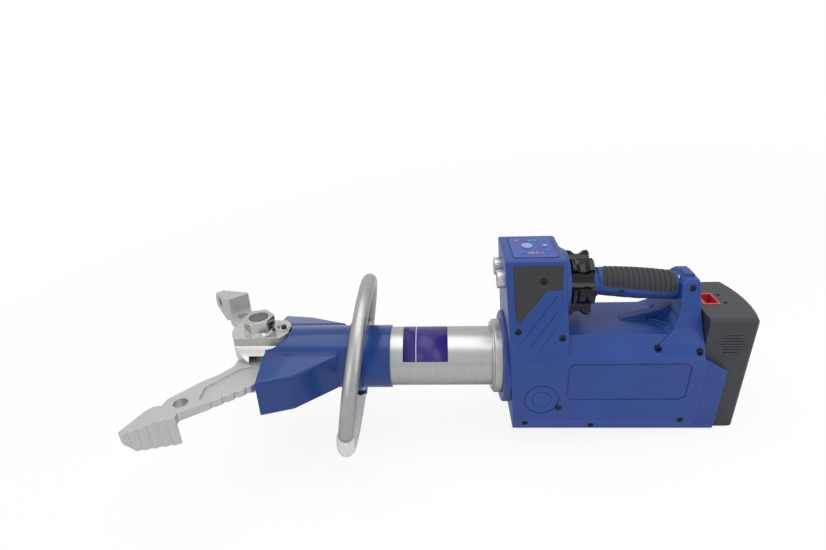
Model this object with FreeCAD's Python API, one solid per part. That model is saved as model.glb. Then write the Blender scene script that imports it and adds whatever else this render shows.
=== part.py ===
"""Battery powered rescue combi tool: cutting and spreading arms on one pivot bolt, driven by a hydraulic
cylinder, with motor, pump and battery in a two-part housing. Millimetres, +Z up, arms towards -X.
The origin is the centre of the front foot's underside. The arms are drawn wide open."""
import FreeCAD, Part
import math
import os

V = FreeCAD.Vector
X, Y, Z = V(1, 0, 0), V(0, 1, 0), V(0, 0, 1)
os.makedirs("parts", exist_ok=True)

# Driving dimensions: main axes and clearances
axis_z = 77.0            # height of the cylinder axis above the feet
pivot_x = -338.0         # pivot bolt
gap = 0.3                # seat gap between separate pieces
running = 0.06           # radial play of a pin in its hole

# Hydraulic cylinder and its guard
tube_r = 38.0
tube_wall = 9.0
tube_bore_r = tube_r - tube_wall
tube_front_x = -186.0
tube_rear_x = -20.0
sleeve_wall = 2.7
sleeve_rear_x = -168.0
wing_front_x = pivot_x + 12.0
nut_bite_r = 28.0         # the sleeve is cut back this far round the nut
wing_drop = 0.27          # the wings slope down outwards
wing_wall = 3.0

# Blades
blade_t = 12.0
blade_play = 0.15        # half the gap between the two blades
blade_bore_r = 12.0
open_deg = 50.5          # each arm's angle from closed to the drawn pose
tip_low = 26.0           # the gripping tip reaches this far past the middle plane
carry_hole_r = 8.5
rib_count = 5
rib_r = 5.0
notch_count = 4
notch_r = 3.0

# Tail pins, links and yoke
tail_r = 36.0            # pivot to tail pin
tail_closed_deg = 85.0   # tail pin's angle behind the pivot with the arms closed
eye_r = 12.0
tail_pin_r = 5.5
link_t = 7.5
link_len = 48.0
yoke_pin_y = 9.0
yoke_pin_r = 5.0
link_play = 3.6          # extra radius of the link's rear hole
yoke_t = 22.0
rod_r = 14.0

# Housing
body_half_w = 60.0
deck_z = 132.0
head_top_z = 229.0
wall = 3.0
rear_x = 232.0           # lower rear edge, beside the battery
upper_rear_x = 200.0     # rear edge above it
foot_inset = 0.5         # the rubber pads stand this far below the shells
grip_z = 182.0
grip_r = 15.5
knob_x = 47.0
knob_r = 39.5
knob_len = 28.0
ring_r = tube_r + 21.0
collar_r = tube_r + 9.5

# Battery
bat_half_w = 50.0
bat_front_x = 190.0
bat_side_x = 259.0
bat_rear_x = 268.0
bat_bottom_z = 2.0
bat_top_z = 157.0

# Front hoop
hoop_x = -213.0
hoop_r = 110.0
hoop_drop = 10.0         # hoop centre below the cylinder axis
hoop_lean_deg = 9.0      # top towards the housing
hoop_tube_r = 9.0


def box(x0, x1, y0, y1, z0, z1):
    """Block between two corners."""
    return Part.makeBox(x1 - x0, y1 - y0, z1 - z0, V(x0, y0, z0))


def rod(r, length, base, direction=X):
    """Round bar from base along direction."""
    return Part.makeCylinder(r, length, base, direction)


def ring(r_out, r_in, length, base, direction=X):
    """Round bar with a hole through it."""
    return rod(r_out, length, base, direction).cut(rod(r_in, length + 2, base - direction, direction))


def prism(points, direction):
    """Closed outline of points pushed along direction."""
    wire = Part.makePolygon(points + [points[0]])
    return Part.Face(wire).extrude(direction)


def side_prism(points, half_w):
    """Outline in x and z, pushed to both sides."""
    return prism([V(x, -half_w, z) for x, z in points], V(0, 2 * half_w, 0))


def front_prism(points, x0, x1):
    """Outline in y and z for one side, mirrored, pushed along x."""
    both = [V(x0, y, z) for y, z in points] + [V(x0, -y, z) for y, z in reversed(points)]
    return prism(both, V(x1 - x0, 0, 0))


def loft(sections):
    """Solid through closed outlines."""
    wires = [Part.makePolygon(points + [points[0]]) for points in sections]
    return Part.makeLoft(wires, True, True)


def soften(shape, radius, pick):
    """Rounds the edges that pick chooses; the radius is as large as the solid allows."""
    edges = [e for e in shape.Edges if pick(e)]
    return shape.makeFillet(radius, edges)


def mirror_y(shape):
    return shape.mirror(V(0, 0, 0), Y)


def turn(shape, centre, degrees, axis=Z):
    turned = shape.copy()
    turned.rotate(centre, axis, degrees)
    return turned


def save(name, *solids):
    shape = solids[0] if len(solids) == 1 else Part.makeCompound(list(solids))
    if len(shape.Solids) == 1:
        shape = shape.Solids[0]
    if not shape.isValid() or any(s.Volume <= 0 for s in shape.Solids):
        print("check", name)
    print(name, len(shape.Solids), round(shape.Volume / 1000, 1), "cm3")
    shape.exportStep(f"parts/{name}.step")


pivot = V(pivot_x, 0, axis_z)


# Blades. Each is drawn closed for the near side, then turned about the pivot bolt.
def blade_outline():
    """Plan outline with the pivot at 0,0 and the arm closed along -x; the outer edge is at -y."""
    inner = [(-192, -0.4), (-150, -0.4), (-143, -6), (-134, -0.4), (-92, -0.4), (-70, -4), (-48, -3), (-32, 8)]
    outer = [tip_nose, tip_heel, (-143, -37), (-138, -32), (-108, -40), (-56, -52), (-20, -52), (4, -49)]
    return list(reversed(inner)) + outer


def tail_pin_at(degrees):
    """Tail pin's place when the arm is turned by degrees from closed."""
    a = math.radians(degrees - tail_closed_deg)
    return pivot + V(tail_r * math.cos(a), tail_r * math.sin(a), 0)


tip_nose = (-192.0, -8.0)
tip_heel = (-149.0, -35.0)


def blade_closed():
    """Near arm in the upper layer, closed."""
    z0 = axis_z + blade_play
    plan = [V(pivot_x + x, y, z0) for x, y in blade_outline()]
    tail = tail_pin_at(0)
    plan.append(V(tail.x - 6, tail.y + eye_r, z0))
    plate = prism(plan, V(0, 0, blade_t))
    plate = plate.fuse(rod(33, blade_t, V(pivot_x, 0, z0), Z))
    plate = plate.fuse(rod(eye_r, blade_t, V(tail.x, tail.y, z0), Z))
    # The gripping tip is a deep block: it reaches past the other arm's layer and is bevelled at the nose.
    x_nose, x_neck = pivot_x - 193, pivot_x - 142
    top_z = axis_z + blade_play + blade_t
    profile = [(x_nose, axis_z - 9), (x_nose, axis_z + 3), (x_nose + 34, top_z), (x_neck, top_z),
               (x_neck, axis_z - tip_low), (x_nose + 10, axis_z - tip_low + 3)]
    low = [V(p.x, p.y, axis_z - tip_low - 1) for p in plan]
    tip = prism(low, V(0, 0, 2 * tip_low + 2)).common(side_prism(profile, 70))
    blade = plate.cut(box(x_nose - 2, x_neck, -60, 2, axis_z - 1, axis_z + 60)).fuse(tip)
    for i in range(rib_count):
        share = (i + 0.45) / rib_count
        x = tip_nose[0] + (tip_heel[0] - tip_nose[0]) * share
        y = tip_nose[1] + (tip_heel[1] - tip_nose[1]) * share
        blade = blade.cut(rod(rib_r, 3 * tip_low, V(pivot_x + x - 1.8, y - 3.0, axis_z - 1.5 * tip_low), Z))
    blade = blade.cut(box(pivot_x - 178, pivot_x - 164, -6, 1, axis_z - 19, axis_z - 5))
    for i in range(notch_count):
        share = (i + 0.5) / notch_count
        p = V(pivot_x - 108 + 54 * share, -41.5 - 12.0 * share, z0 - 1)
        blade = blade.cut(rod(notch_r, blade_t + 2, p, Z))
    # Lightening pocket in the upper face, open to the notched edge, and the hole for a chain fitting
    pocket = [(-110, -29), (-93, -13.5), (-46, -13.5), (-30, -24), (-30, -70), (-96, -70)]
    floor_z = z0 + blade_t - 2.5
    cut = prism([V(pivot_x + x, y, floor_z) for x, y in pocket], V(0, 0, 5))
    cut = soften(cut, 4.0, lambda e: abs(e.tangentAt(e.FirstParameter).z) > 0.99 and e.CenterOfMass.y > -60)
    blade = blade.cut(cut).cut(rod(carry_hole_r, 60, V(pivot_x - 126.5, -18.5, axis_z - 20), Z))
    blade = blade.cut(rod(blade_bore_r + running, 60, V(pivot_x, 0, axis_z - 20), Z))
    blade = blade.cut(rod(tail_pin_r + running, 60, V(tail.x, tail.y, axis_z - 20), Z))
    return blade.removeSplitter()


closed = blade_closed()
upper_blade = turn(closed, pivot, open_deg)
lower_blade = turn(upper_blade, pivot, 180, X)
save("upper_blade", upper_blade)
save("lower_blade", lower_blade)


# Tail pins and links: the link lies on the blade's outer face and runs back to the yoke pin.
link_z = axis_z + blade_play + blade_t + 0.2
tail_open = tail_pin_at(open_deg)
reach = math.sqrt(link_len ** 2 - (tail_open.y + yoke_pin_y) ** 2)
yoke_pin = V(tail_open.x + reach, -yoke_pin_y, 0)
pin_top_z = link_z + link_t
tail_pin = rod(tail_pin_r, blade_t + link_t + 0.2, V(tail_open.x, tail_open.y, axis_z + blade_play), Z)


def link_bar():
    """Flat bar with an eye at the tail pin and a long hole at the yoke pin."""
    a, b = V(tail_open.x, tail_open.y, link_z), V(yoke_pin.x, yoke_pin.y, link_z)
    along = (b - a).normalize()
    across = V(-along.y, along.x, 0)
    bar = prism([a + across * 8, b + across * 8, b - across * 8, a - across * 8], V(0, 0, link_t))
    bar = bar.fuse(rod(eye_r - 1, link_t, a, Z)).fuse(rod(eye_r, link_t, b, Z))
    bar = bar.cut(rod(tail_pin_r + running, 30, a - Z * 5, Z))
    return bar.cut(rod(yoke_pin_r + link_play, 30, b - Z * 5, Z)).removeSplitter()


near_link = link_bar()
save("near_link", near_link)
save("far_link", turn(near_link, pivot, 180, X))
save("near_tail_pin", tail_pin)
save("far_tail_pin", turn(tail_pin, pivot, 180, X))

# Piston rod with its yoke, pins, piston and seal
rod_front_x = yoke_pin.x + 20
piston_x = -75.0
yoke = box(yoke_pin.x - 7, rod_front_x + 2, -26, 26, axis_z - yoke_t / 2, axis_z + yoke_t / 2)
yoke = yoke.common(rod(28.0, 60, V(yoke_pin.x - 20, 0, axis_z)))
for side in (-1, 1):
    yoke = yoke.cut(rod(yoke_pin_r, 80, V(yoke_pin.x, side * yoke_pin_y, axis_z - 40), Z))
piston_rod = rod(rod_r, piston_x - rod_front_x - 2, V(rod_front_x + 2, 0, axis_z))
pins = [rod(yoke_pin_r, yoke_t / 2 + blade_play + link_t + 1.5, V(yoke_pin.x, -yoke_pin_y, axis_z), Z)]
pins.append(turn(pins[0], pivot, 180, X))
piston_groove_r = tube_bore_r - 2.5
piston = ring(tube_bore_r - 0.3, 9, 22, V(piston_x, 0, axis_z)).cut(ring(tube_r, piston_groove_r, 5, V(piston_x + 8, 0, axis_z)))
piston_rod = piston_rod.fuse(rod(9 - running, 26, V(piston_x, 0, axis_z)))
save("yoke", yoke)
save("yoke_pins", *pins)
save("piston_rod", piston_rod.removeSplitter())
save("piston", piston)
save("piston_seal", ring(tube_bore_r - 0.06, piston_groove_r + 0.1, 4.8, V(piston_x + 8.1, 0, axis_z)))
save("piston_nut", ring(14, 9 + running, 3.5, V(piston_x + 22.2, 0, axis_z)))

# Clevis head: two ears that carry the pivot bolt, closed behind by the rod guide
clevis_r = tube_r - 0.5
clevis_rear_x = tube_front_x - gap
clevis_front_x = pivot_x - 37.0
slot_half_h = blade_t + blade_play + 0.15
pocket_half_h = slot_half_h + link_t + 1.6
guide_x = clevis_rear_x - 22
clevis = rod(clevis_r, clevis_rear_x - clevis_front_x, V(clevis_front_x, 0, axis_z))
nose = rod(36, 120, V(pivot_x, 0, axis_z - 60), Z).fuse(box(pivot_x, clevis_rear_x, -60, 60, axis_z - 60, axis_z + 60))
clevis = clevis.common(nose)
seat_z = axis_z + clevis_r + 5.5
pad_half_w = 21.5
pad = box(pivot_x - 40, pivot_x + 38, -pad_half_w, pad_half_w, 2 * axis_z - seat_z, seat_z)
pad_end = rod(nut_bite_r - gap, 300, V(wing_front_x, 0, axis_z - 150), Z)
pad_end = pad_end.fuse(box(pivot_x - 60, wing_front_x, -60, 60, axis_z - 150, axis_z + 150))
clevis = clevis.fuse(pad.common(nose).common(pad_end))
clevis = clevis.cut(box(pivot_x - 50, guide_x, -60, 60, axis_z - slot_half_h, axis_z + slot_half_h))
clevis = clevis.cut(box(pivot_x - 9.5, guide_x, -60, 60, axis_z - pocket_half_h, axis_z + pocket_half_h))
clevis = clevis.cut(rod(rod_r + running, 60, V(guide_x - 5, 0, axis_z)))
clevis = clevis.cut(rod(blade_bore_r + running, 120, V(pivot_x, 0, axis_z - 60), Z))
keep_boss = ring(20, blade_bore_r + running, pocket_half_h - slot_half_h, V(pivot_x, 0, axis_z + slot_half_h), Z)
clevis = clevis.cut(rod(2.05, 20, V(pivot_x + 31, 0, seat_z - 9.1), Z))
clevis = clevis.fuse(keep_boss).fuse(keep_boss.mirror(V(0, 0, axis_z), Z)).removeSplitter()
save("clevis_head", clevis)

# Pivot bolt with its head below, flange nut above, and the locking tab beside it
head_h, nut_h, flange_h = 14.0, 15.5, 3.0
bolt_top_z = seat_z + flange_h + nut_h + 0.4
under_z = 2 * axis_z - seat_z


def hexagon(across_flats, height, base):
    r = across_flats / math.sqrt(3)
    corners = [base + V(r * math.cos(math.radians(a)), r * math.sin(math.radians(a)), 0) for a in range(15, 375, 60)]
    return prism(corners, V(0, 0, height))


bolt = rod(blade_bore_r, bolt_top_z - under_z - 4, V(pivot_x, 0, under_z), Z)
bolt = bolt.fuse(rod(blade_bore_r - 1, 4, V(pivot_x, 0, bolt_top_z - 4), Z))
bolt = bolt.cut(Part.makeCone(8.5, 9.5, 1.2, V(pivot_x, 0, bolt_top_z - 1.0), Z))
bolt = bolt.cut(Part.makeCone(0, 2.2, 4, V(pivot_x, 0, bolt_top_z - 4), Z))
bolt = bolt.fuse(hexagon(34, head_h, V(pivot_x, 0, under_z - head_h - 3))).fuse(rod(20, 3, V(pivot_x, 0, under_z - 3), Z))
save("pivot_bolt", bolt.removeSplitter())
nut_base = V(pivot_x, 0, seat_z + flange_h)
nut = hexagon(34, nut_h, nut_base)
nut = nut.common(Part.makeCone(25, 15.2, 25, nut_base, Z).fuse(rod(25, nut_h - 6, nut_base, Z)))
nut = nut.fuse(Part.makeCone(20.5, 18, flange_h, V(pivot_x, 0, seat_z), Z))
save("pivot_nut", nut.cut(rod(blade_bore_r + running, 60, V(pivot_x, 0, seat_z - 5), Z)).removeSplitter())
pad_h = seat_z - axis_z + 0.05
tab_outline = [(21.2, pad_h), (36, pad_h), (36, pad_h + 2), (26, pad_h + 2.6), (24, pad_h + 10), (21.2, pad_h + 10)]
tab = side_prism([(pivot_x + x, axis_z + z) for x, z in tab_outline], 6)
tab_screw = rod(2, 12, V(pivot_x + 31, 0, seat_z - 9), Z).fuse(rod(3.4, 2.2, V(pivot_x + 31, 0, seat_z + 2.5), Z))
tab = tab.cut(rod(2.05, 40, V(pivot_x + 31, 0, axis_z + 20), Z)).cut(rod(3.5, 10, V(pivot_x + 31, 0, seat_z + 2.45), Z))
save("locking_tab", tab.removeSplitter())
save("tab_screw", tab_screw.removeSplitter())

# Guard sleeve with side wings over the blade shoulders
sleeve_r = tube_r + sleeve_wall
wing_root = sleeve_r - 0.7
wing_up, wing_down = 27.0, 24.0


def wing_block(inset):
    """Both wings as one block that hangs over the sleeve; inset gives the hollow inside."""
    x0 = wing_front_x - (20 if inset else 0)
    plan = [(x0, 81 - inset), (wing_front_x + 40 - inset * 0.4, 71.5 - inset), (wing_front_x + 92 - inset, wing_root - inset)]
    outline = [V(x, -y, axis_z - 80) for x, y in plan] + [V(x, y, axis_z - 80) for x, y in reversed(plan)]
    body = prism(outline, V(0, 0, 160))
    low, high, tip_y = axis_z - wing_down + inset, axis_z + wing_up - inset, wing_root + 45
    half = [(0, low), (wing_root, low), (tip_y, low - 45 * wing_drop),
            (tip_y, high - 45 * wing_drop), (wing_root, high), (0, high)]
    return body.common(front_prism(half, x0 - 1, wing_front_x + 100))


sleeve = rod(sleeve_r, sleeve_rear_x - wing_front_x, V(wing_front_x, 0, axis_z))
wings = soften(wing_block(0), 5.0, lambda e: abs(e.tangentAt(e.FirstParameter).z) < 0.35
               and abs(e.CenterOfMass.y) > 50 and e.CenterOfMass.x > wing_front_x + 1 and e.Length > 20)
sleeve = sleeve.fuse(wings)
sleeve = sleeve.cut(rod(tube_r + 0.05, 400, V(pivot_x - 20, 0, axis_z)))
sleeve = sleeve.cut(wing_block(wing_wall))
for z in (axis_z, axis_z - 120):
    sleeve = sleeve.cut(rod(nut_bite_r, 120, V(wing_front_x, 0, z), Z))
save("guard_sleeve", sleeve.removeSplitter())

# Cylinder tube, end cap, collar and the housing's front ring
tube = ring(tube_r, tube_bore_r, tube_rear_x - tube_front_x, V(tube_front_x, 0, axis_z))
save("cylinder_tube", tube)
save("rod_gland", ring(tube_bore_r - 0.05, rod_r + running, 20, V(tube_front_x, 0, axis_z)))
save("cylinder_cap", rod(tube_bore_r - 0.05, 22, V(tube_rear_x - 22, 0, axis_z)))
collar = ring(collar_r, tube_r + 0.05, 10, V(-38, 0, axis_z)).fuse(ring(tube_r + 6, tube_r + 0.05, 14, V(-40, 0, axis_z)))
collar = soften(collar.removeSplitter(), 1.8, lambda e: abs(e.CenterOfMass.x + 38) < 0.1 and e.Length > 6.2 * (collar_r - 1))
save("collar", collar)
front_ring = ring(ring_r, tube_r + 6.1, 9, V(-27.8, 0, axis_z))
front_ring = soften(front_ring, 2.5, lambda e: abs(e.CenterOfMass.x + 27.8) < 0.1 and e.Length > 6.2 * (ring_r - 1))
save("front_ring", front_ring)

# Hoop handle with its clear foot sleeve and two side bosses
hoop_c = V(hoop_x, 0, axis_z - hoop_drop)
lean = math.radians(hoop_lean_deg)


def leaned(shape):
    return turn(shape, hoop_c, hoop_lean_deg, Y)


hoop = Part.makeTorus(hoop_r, hoop_tube_r, hoop_c, X)
foot_half_deg = 40.0
foot = Part.makeTorus(hoop_r, hoop_tube_r + 2.0, hoop_c, X).cut(Part.makeTorus(hoop_r, hoop_tube_r + 0.02, hoop_c, X))
far = 300.0
spread = far * math.tan(math.radians(foot_half_deg))
sector = prism([hoop_c - X * 50, hoop_c + V(-50, -spread, -far), hoop_c + V(-50, spread, -far)], V(100, 0, 0))
save("hoop_foot_sleeve", leaned(foot.common(sector)))
hoop_arm_r = 6.0
clamp_r = sleeve_r + 4.1
arms = [rod(hoop_arm_r, hoop_r - clamp_r - 0.5, V(hoop_x, s * (clamp_r + 0.1), hoop_c.z), Y * s) for s in (-1, 1)]
hoop = hoop.fuse(arms[0]).fuse(arms[1]).removeSplitter()
save("hoop_handle", leaned(hoop).cut(rod(clamp_r + 0.1, 60, V(hoop_x - 30, 0, axis_z))))
hoop_clamp = ring(clamp_r, sleeve_r + 0.05, 16, V(hoop_x - 8, 0, axis_z))
hoop_clamp = hoop_clamp.cut(box(hoop_x - 20, hoop_x + 20, -1, 1, axis_z - 60, axis_z))
lugs = [box(hoop_x - 8, hoop_x + 8, s * 5 - 4, s * 5 + 4, axis_z - sleeve_r - 15, axis_z - sleeve_r - 1) for s in (-1, 1)]
lugs = [lug.cut(rod(sleeve_r + 0.05, 40, V(hoop_x - 20, 0, axis_z))) for lug in lugs]
hoop_clamp = hoop_clamp.fuse(lugs[0]).fuse(lugs[1])
bolt_z = axis_z - sleeve_r - 9.5
save("hoop_clamp", hoop_clamp.cut(rod(3 + running, 40, V(hoop_x, -20, bolt_z), Y)).removeSplitter())
clamp_bolt = rod(3, 24, V(hoop_x, -13, bolt_z), Y)
clamp_bolt = clamp_bolt.fuse(rod(5, 3.8, V(hoop_x, -13, bolt_z), Y)).fuse(rod(5, 3.8, V(hoop_x, 9.2, bolt_z), Y))
save("hoop_clamp_bolt", clamp_bolt.removeSplitter())

# Housing: outline from the side and from the front, drawn once and shrunk for the hollow inside
post_x1 = upper_rear_x + 3.0
bay_step_z = 108.0


def housing_block(inset):
    """Whole housing without the grip; inset shrinks every face."""
    i = inset
    side = [(-14 + i, foot_inset + i), (14 - i, foot_inset + i), (18 - i, 4 + i), (182 + i, 4 + i), (186 + i, foot_inset + i), (rear_x - i, foot_inset + i),
            (rear_x - i, 91 - i), (post_x1 - i, bay_step_z - i), (post_x1 - i, deck_z - i), (46 - i, deck_z - i),
            (38 - i, head_top_z - i), (-31 + i, head_top_z - i), (-23 + i, 126)]
    w = body_half_w - i
    front = [(w - 12, i), (w - 4, 4 + i), (w, 20), (w, 106), (w - 3, 128 - i * 0.3),
             (w - 22, head_top_z - i), (w - 22, head_top_z + 20)]
    body = side_prism(side, 90).common(front_prism(front, -60, 300))
    arch = front_prism([(w + 30, deck_z + 60), (w + 30, 70), (w, 107.5), (w - 20.5, deck_z - i), (w - 20.5, deck_z + 60)],
                       46 - i, 300).common(box(46 - i, 300, -200, 200, 60, deck_z + 1))
    half_arch = arch.cut(front_prism([(w - 20.5, deck_z + 60), (w - 20.5, deck_z - i), (w, 107.5), (w + 1, 60), (0, 60)],
                                     40, 301))
    body = body.cut(half_arch)
    return body


def deck_edges(e):
    """Top edges of the head and deck and the two rear corners."""
    c = e.CenterOfMass
    top = c.z > head_top_z - 0.5
    front = c.x < -15 and c.z > 140 and abs(c.y) > 30 and abs(e.tangentAt(e.FirstParameter).z) > 0.6
    back = abs(c.x - 42) < 3 and c.z > 140 and abs(c.y) > 30
    return top or back


outer = soften(housing_block(0), 3.8, deck_edges)
hollow = housing_block(wall + 1.0)
skin = outer.cut(housing_block(2.0))
knob_boss = Part.makeCone(45, knob_r + 1, knob_x - 0.8 - 38, V(38, 0, grip_z), X).fuse(rod(45, 14, V(24, 0, grip_z)))
knob_boss = knob_boss.common(box(24, 60, -60, 60, deck_z - 1, head_top_z - 0.5))
post_side = [(152, deck_z - 8), (168, deck_z + 4), (175, 148), (178.3, 160), (178.3, grip_z + 5), (184, grip_z + 11),
             (upper_rear_x - 3, grip_z + 11), (upper_rear_x - 1, grip_z + 6), (post_x1, 130), (post_x1, 95), (152, 95)]
post_front = [(body_half_w - 2.5, 96), (body_half_w - 2.5, 110), (50, 124), (39, 139), (30, 156), (24, 173),
              (21, grip_z + 6), (18, grip_z + 12)]
post = side_prism(post_side, 66).common(front_prism(post_front, 100, 300))
post_hollow = box(188, upper_rear_x - 6, -14, 14, 112, grip_z - 2)
brace = side_prism([(118, deck_z - 4), (118, deck_z + 1), (165, deck_z + 14), (178, deck_z + 22), (190, deck_z - 4)], 5)
for s in (-1, 1):
    foot_line = [V(150, s * 8, deck_z - 6), V(152, s * 10, deck_z - 6), V(182, s * 38, deck_z - 6), V(182, s * 34, deck_z - 6)]
    brace = brace.fuse(prism(foot_line, V(0, 0, 11)))
raised_tab = box(184, upper_rear_x - 4, -9, 9, grip_z + 8, grip_z + 14)
outer = outer.fuse(knob_boss).fuse(post).fuse(brace).fuse(soften(raised_tab, 2, lambda e: e.CenterOfMass.z > grip_z + 13))

# Bay that the battery drops into, with a wall in front of it
bay = box(bat_front_x - 0.4, rear_x + 40, -bat_half_w - 0.4, bat_half_w + 0.4, 4.4, 400)
bay = bay.cut(box(0, post_x1 + 0.4, -99, 99, bay_step_z + 0.4, 400))
hollow = hollow.cut(box(bat_front_x - 4.0, 400, -99, 99, -50, 400))
hollow = hollow.cut(box(-100, 300, -99, 99, -50, 400).cut(box(-100, 300, -99, 99, 0, deck_z - 4)).cut(
    box(-100, 33, -99, 99, 0, 400)))
shell = outer.cut(hollow).cut(post_hollow).cut(bay)
for s in (-1, 1):
    y_in, y_out = sorted((s * (body_half_w - 2.5), s * 90))
    shell = shell.cut(box(post_x1 + 3, 300, y_in, y_out, 7, 200))
shell = shell.cut(rod(tube_r + 0.1, 60, V(-60, 0, axis_z)))
shell = shell.cut(rod(ring_r + 0.1, 60, V(-18.7 - 60, 0, axis_z)))
core_r = 8.5
shell = shell.cut(rod(21, 60, V(20, 0, grip_z)).common(box(20, 60, -60, 60, 0, 400)))
shell = shell.cut(rod(core_r + 0.05, 36.6, V(150, 0, grip_z)))

# Side panels, lamps, display and the outlines pressed into the flanks
panel_xz = [(-22, 223), (34, 223), (34, 194.5), (18, 194.5), (-12, 156), (-17, 160)]
panel_cut = side_prism(panel_xz, 90)
panels = skin.common(panel_cut)
grow = [(-22.3, 223.3), (34.3, 223.3), (34.3, 194.2), (17.8, 194.2), (-12.1, 155.5), (-17.4, 159.8)]
shell = shell.cut(outer.cut(housing_block(2.05)).common(side_prism(grow, 90)).common(box(-60, 60, -99, 99, 140, 224)))
for (x0, z0), (x1, z1) in (((30, 189), (-14, 126)), ((30.5, 170), (-1, 124)), ((31, 151), (11, 122))):
    along = V(x1 - x0, 0, z1 - z0).normalize()
    side_step = V(-along.z, 0, along.x) * 0.6
    p0, p1 = V(x0, -99, z0), V(x1, -99, z1)
    line = prism([p0 + side_step, p0 - side_step, p1 - side_step, p1 + side_step], V(0, 198, 0))
    shell = shell.cut(outer.cut(housing_block(1.2)).common(line))


def rounded_plate(x0, x1, z0, z1, r, y0, y1):
    """Rounded rectangle seen from the side."""
    plate = box(x0, x1, y0, y1, z0, z1)
    return soften(plate, r, lambda e: abs(e.tangentAt(e.FirstParameter).y) > 0.99)


for s in (-1, 1):
    y_in, y_out = sorted((s * (body_half_w - 1.4), s * (body_half_w + 5)))
    frame_cut = rounded_plate(46, 190, 51, 105, 9, y_in, y_out).cut(rounded_plate(49, 187, 54, 102, 7, y_in - 1, y_out + 1))
    shell = shell.cut(frame_cut)
    boss_cut = ring(22, 19, 1.5, V(18, s * (body_half_w + 0.1), 52), Y * -s)
    shell = shell.cut(boss_cut).cut(ring(12, 10.8, 1.2, V(18, s * (body_half_w + 0.1), 52), Y * -s))

def rounded_foot(x0, x1, half_w, z0):
    """Pad under a foot."""
    return soften(box(x0, x1, -half_w, half_w, z0, 2.2), 4, lambda e: abs(e.tangentAt(e.FirstParameter).z) > 0.99)


display_x0, display_x1, display_half = -20.0, 30.0, 29.6
display_seat = box(display_x0 - 0.2, display_x1 + 0.2, -display_half - 0.2, display_half + 0.2, head_top_z - 2, 300)
shell = shell.cut(display_seat)
button_places = [("power_button", -0.5, 3.0, 6.7), ("lamp_button", 20.5, 3.0, 2.8)]
for name, x, y, r in button_places:
    shell = shell.cut(rod(r - 1.1, 10, V(x, y, head_top_z - 8), Z))
lamp_y, lamp_z = 18.0, 197.0
for s in (-1, 1):
    shell = shell.cut(rod(11.1, 40, V(-50, s * lamp_y, lamp_z)))

# Screws that hold the two halves together: x, z and how deep the pocket starts
screw_places = [(-14, 145), (37, 137), (150, 119), (0, 14.6), (82, 10), (189, 20), (190, 183), (13, 205),
                (197, 116)]
screw_heads = []
for x, z in screw_places:
    probe = rod(0.5, 200, V(x, -100, z), Y).common(outer)
    y_face = probe.BoundBox.YMin
    shell = shell.cut(rod(4.2, 3.2, V(x, y_face - 0.2, z), Y)).cut(rod(4.2, 20, V(x, y_face - 20, z), Y))
    head = rod(3.9, 2.2, V(x, y_face + 0.6, z), Y)
    socket = prism([V(x + 1.9 * math.cos(math.radians(a)), y_face, z + 1.9 * math.sin(math.radians(a)))
                    for a in range(0, 360, 60)], V(0, 1.8, 0))
    screw_heads.append(head.cut(socket))
pads = []
for x0, x1 in ((-11, 11), (189, rear_x - 3)):
    pads.append(rounded_foot(x0, x1, 42, 0))
    shell = shell.cut(rounded_foot(x0 - 0.2, x1 + 0.2, 42.2, -1))
save("foot_pads", *pads)
near_half = shell.common(box(-200, 400, -200, -0.05, -50, 400))
far_half = shell.common(box(-200, 400, 0.05, 200, -50, 400))
save("near_shell", near_half.removeSplitter())
save("far_shell", far_half.removeSplitter())
save("shell_screws", *screw_heads)
panels = panels.cut(rod(4.2, 100, V(13, -100, 205), Y))
save("side_panels", *panels.Solids)

plate_z = head_top_z - 1.9
display = box(display_x0, display_x1, -display_half, display_half, plate_z, head_top_z + 0.6)
display = soften(display, 4, lambda e: abs(e.tangentAt(e.FirstParameter).z) > 0.99)
for name, x, y, r in button_places:
    display = display.cut(rod(r + 0.35, 10, V(x, y, plate_z - 2), Z))
display = display.cut(box(13, 28.5, -14, 18, head_top_z + 0.3, 300).cut(box(13.8, 27.7, -13.2, 17.2, 0, 300)))
display = display.cut(rod(0.9, 10, V(19, -20, plate_z - 2), Z)).removeSplitter()
save("display_panel", display)
for name, x, y, r in button_places:
    stem = rod(r, 2.9, V(x, y, head_top_z - 1.0), Z).fuse(rod(r - 1.5, 4, V(x, y, head_top_z - 4.4), Z))
    save(name, soften(stem.removeSplitter(), 0.6, lambda e: e.CenterOfMass.z > head_top_z + 1.8))
led_bars = []
for k in range(5):
    for x, y in ((-10 + 5.4 * k, -17.5), (-13 + 5.4 * k, 20.0)):
        led_bars.append(box(x, x + 4, y - 1.2, y + 1.2, head_top_z + 0.62, head_top_z + 1.0))
save("led_bars", *led_bars)
board = box(-15, 27, -26, 26, head_top_z - 8.0, head_top_z - 6.4)
for x, y in ((-11, -22), (-11, 22), (23, -22), (23, 22)):
    board = board.fuse(rod(2.5, 3.7, V(x, y, head_top_z - 8.0), Z))
board = board.removeSplitter()
save("display_board", board)

bezels, lenses = [], []
for s in (-1, 1):
    bezel = ring(11, 8.2, 14, V(-37, s * lamp_y, lamp_z))
    for a in range(0, 360, 20):
        bezel = bezel.cut(turn(box(-36, -30, 10.7, 12, -0.8, 0.8), V(0, 0, 0), a, X).translated(V(0, s * lamp_y, lamp_z)))
    bezels.append(bezel)
    lenses.append(rod(8.1, 5, V(-35.5, s * lamp_y, lamp_z)))
save("lamp_bezels", *bezels)
save("lamp_lenses", *lenses)

# Grip core through the star knob, grip body and its two rubber pads
grip_x0, grip_x1 = 84.0, 178.0
core = rod(core_r, 186.5 - 22, V(22, 0, grip_z)).cut(rod(4, 60, V(10, 0, grip_z)))
save("grip_core", core)
save("grip_anchor", box(20, 32.7, -30, 30, grip_z - 20, grip_z + 20).cut(rod(core_r + 0.05, 30, V(10, 0, grip_z))))


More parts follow.
